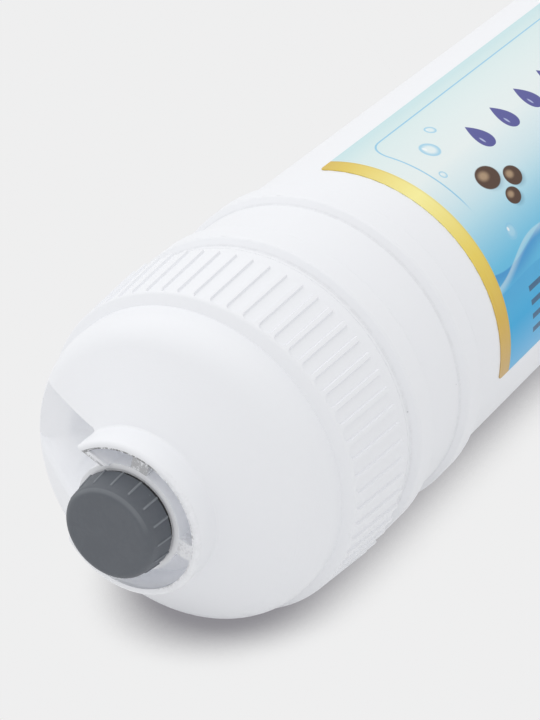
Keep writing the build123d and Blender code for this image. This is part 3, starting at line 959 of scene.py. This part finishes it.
ROW_START, ROW_PITCH = 37.6, 2.3
past_start = calc(tree, "SUBTRACT", around, ROW_START)
line_row = calc(tree, "FLOORED_MODULO", past_start, ROW_PITCH)
rules = both(zone(line_row, 0.75, 1.55, 0.1), zone(around, 37.7, 46.7, 0.05))
row_number = calc(tree, "FLOOR", calc(tree, "DIVIDE", past_start, ROW_PITCH))
row_swing = calc(tree, "SINE", calc(tree, "MULTIPLY", row_number, 2.4))
row_end = calc(tree, "ADD", 62.0, calc(tree, "MULTIPLY", row_swing, 14.0))
before_end = ramp(tree, calc(tree, "SUBTRACT", row_end, along), -0.1, 0.1)
rules = both(rules, both(ramp(tree, along, 10.9, 11.1), before_end))
colour = blend(tree, calc(tree, "MULTIPLY", rules, 0.8), colour, (0.030, 0.055, 0.13))
print("drops:", DROP_COUNT, "pebbles:", len(pebbles))

# %% [markdown]
# ## Frame line and gold bands
# The frame line is a thin blue rule with rounded corners, found as the edge of a rounded rectangle. The bands are
# printed gold: a ramp of colours around the tube makes them lighter where they face the light, with a faint streak.

# %% Frame line and bands
FRAME_IN, FRAME_SIDE, FRAME_CORNER = 7.6, 3.9, 4.0
half_frame = (LABEL_LENGTH / 2 - FRAME_IN - FRAME_CORNER, LABEL_WIDTH / 2 - FRAME_SIDE - FRAME_CORNER)
off_middle = calc(tree, "ABSOLUTE", calc(tree, "SUBTRACT", along, LABEL_LENGTH / 2))
over_along = calc(tree, "MAXIMUM", calc(tree, "SUBTRACT", off_middle, half_frame[0]), 0.0)
off_middle = calc(tree, "ABSOLUTE", calc(tree, "SUBTRACT", around, LABEL_WIDTH / 2))
over_around = calc(tree, "MAXIMUM", calc(tree, "SUBTRACT", off_middle, half_frame[1]), 0.0)
outside = calc(
    tree, "SQRT", calc(tree, "ADD", calc(tree, "POWER", over_along, 2.0), calc(tree, "POWER", over_around, 2.0))
)
frame_line = both(zone(outside, FRAME_CORNER - 0.12, FRAME_CORNER + 0.12, 0.08), ramp(tree, around, 24.0, 20.0))
colour = blend(tree, calc(tree, "MULTIPLY", frame_line, 0.7), colour, (0.12, 0.50, 0.78))

gold_stops = [
    (0.0, (0.67, 0.45, 0.03)),
    (0.08, (0.75, 0.55, 0.06)),
    (0.33, (0.97, 0.89, 0.33)),
    (0.58, (0.85, 0.65, 0.09)),
    (0.80, (0.70, 0.44, 0.04)),
    (1.0, (0.60, 0.39, 0.14)),
]
brushed = put(tree, "ShaderNodeMapping", {"Vector": place, "Scale": (1.0, 0.08, 0.08)}).outputs[0]
streak = put(tree, "ShaderNodeTexNoise", {"Vector": brushed, "Scale": 2500.0}).outputs["Fac"]
gold = blend(tree, calc(tree, "MULTIPLY", streak, 0.1), colour_ramp(across_share, gold_stops), (0.98, 0.93, 0.62))
gold_edge = ramp(tree, from_near_end, 2.75, 3.1)
gold = blend(tree, calc(tree, "MULTIPLY", gold_edge, 0.2), gold, (0.55, 0.38, 0.10))
band = ramp(tree, from_near_end, 3.35, 3.25)
colour = blend(tree, band, colour, gold)
tree.links.new(colour, shader["Base Color"])
print("gold stops:", len(gold_stops))

# %% [markdown]
# ## Clear film
# A clear film protects the print. A coat layer on the shader could stand for it, but the shader's own gloss is enough
# here: fairly smooth, a little less shiny than bare plastic, with a faint wander where the glue is uneven.

# %% Film over the print
grain = use_group(tree, moulded_grain, {"Place": place, "Grain per metre": 2500.0, "Wander": 1.0})
tree.links.new(calc(tree, "ADD", 0.30, calc(tree, "MULTIPLY", grain["Patch"], 0.1)), shader["Roughness"])
bump(tree, shader, grain["Height"], 0.000008)
shader["Specular IOR Level"].default_value = 0.35
label_mesh.materials.append(label_film)
finish_node("label", label_film)

# %% [markdown]
# ## Stage
# The cartridge lies on a seamless pale table. Seen by the camera, and in reflections, the table glows in its own even
# paint colour, as in an over-lit product picture, and the shade close to the cartridge is painted into that glow. This
# painted shadow is the share of the sky that the cartridge hides, found by the Ambient Occlusion node, so it follows
# the cartridge in every pose. For all other light the table is plain matt paint.

# %% Floor
FLOOR_HALF = 4.0
floor_mesh = bpy.data.meshes.new("studio_floor")
shape = bmesh.new()
corners = [shape.verts.new((x * FLOOR_HALF, y * FLOOR_HALF, 0)) for x, y in ((-1, -1), (1, -1), (1, 1), (-1, 1))]
shape.faces.new(corners)
shape.to_mesh(floor_mesh)
shape.free()
floor = bpy.data.objects.new("studio_floor", floor_mesh)
bpy.context.scene.collection.objects.link(floor)
floor_paint, tree, shader, place = start_material("floor_paint")
FLOOR_PAINT = (0.862, 0.862, 0.864)
speckle = put(tree, "ShaderNodeTexNoise", {"Vector": place, "Scale": 900.0, "Detail": 3.0}).outputs["Fac"]
tree.links.new(blend(tree, speckle, FLOOR_PAINT, (0.868, 0.868, 0.870)), shader["Base Color"])
shader["Roughness"].default_value = 0.9
shader["Specular IOR Level"].default_value = 0.0
rays = put(tree, "ShaderNodeLightPath").outputs
reflected = calc(tree, "MAXIMUM", rays["Is Glossy Ray"], rays["Is Transmission Ray"])
seen = calc(tree, "MAXIMUM", rays["Is Camera Ray"], reflected)
# Painted shadow: occlusion about a slightly tilted normal darkens the glow to a cool grey near the cartridge.
tilt = put(tree, "ShaderNodeCombineXYZ", {0: 0.2, 1: -0.08, 2: 1.0}).outputs[0]
tilt = put(tree, "ShaderNodeVectorMath", {0: tilt}, operation="NORMALIZE").outputs[0]
openness = put(tree, "ShaderNodeAmbientOcclusion", {"Distance": 0.08, "Normal": tilt}, samples=48).outputs["AO"]
shown = blend(tree, ramp(tree, openness, 0.16, 0.48), (0.262, 0.256, 0.276), FLOOR_PAINT)
glow = put(tree, "ShaderNodeEmission", {"Color": shown, "Strength": 1.0}).outputs[0]
surface = next(n for n in tree.nodes if n.type == "OUTPUT_MATERIAL").inputs["Surface"]
painted = surface.links[0].from_socket
lit = put(tree, "ShaderNodeMixShader", {0: seen, 1: painted, 2: glow}).outputs[0]
tree.links.new(lit, surface)
floor_mesh.materials.append(floor_paint)
print("floor:", 2 * FLOOR_HALF, "m square")

# %% [markdown]
# ## Light
# A bright, even sky and one very wide lamp above give soft, nearly shadowless light. The lamp leans a little to the
# back, so the top of the tube is the lightest part and the dome keeps its round shading. Their sum is plain daylight
# level: a colour shows about as it is written.

# %% Lights
world = bpy.data.worlds.new("studio_sky")
bpy.context.scene.world = world
world.use_nodes = True
sky = next(n for n in world.node_tree.nodes if n.type == "BACKGROUND")
sky.inputs["Color"].default_value = (1.0, 1.0, 1.0, 1.0)
sky.inputs["Strength"].default_value = 0.8


def wide_sun(name, towards_light, strength, spread):
    """A sun with a wide disc, which gives soft shadows and the same light all over the floor."""
    data = bpy.data.lights.new(name, "SUN")
    data.energy = strength
    data.angle = math.radians(spread)
    lamp = bpy.data.objects.new(name, data)
    lamp.rotation_euler = Vector(towards_light).to_track_quat("Z", "Y").to_euler()
    bpy.context.scene.collection.objects.link(lamp)
    print("lamp:", name, "strength", strength)


wide_sun("overhead_softbox", (0.1, 0.5, 1.0), 0.72, 80)

# %% [markdown]
# ## Camera
# The camera stands in front of the cap, a little to its side and above it. A long lens keeps the sides of the tube
# nearly parallel, and its place was found by fitting the round edges of the cap to their ellipses in the photo.

# %% Camera
camera_data = bpy.data.cameras.new("photo_camera")
camera_data.lens = 122.84
camera_data.sensor_width = 36.0
camera = bpy.data.objects.new("photo_camera", camera_data)
camera.location = (-0.36114, -0.15811, 0.21256)
camera.rotation_euler = Vector((0.7405, 0.4428, -0.5056)).to_track_quat("-Z", "Y").to_euler()
bpy.context.scene.collection.objects.link(camera)
bpy.context.scene.camera = camera
bpy.context.scene.view_settings.view_transform = "Standard"
print("camera:", [round(value, 3) for value in camera.location], "lens", camera_data.lens)

# %% [markdown]
# ## Finish
# The view layer is brought up to date, so every piece stands where it was placed.

# %% Finish
bpy.context.view_layer.update()
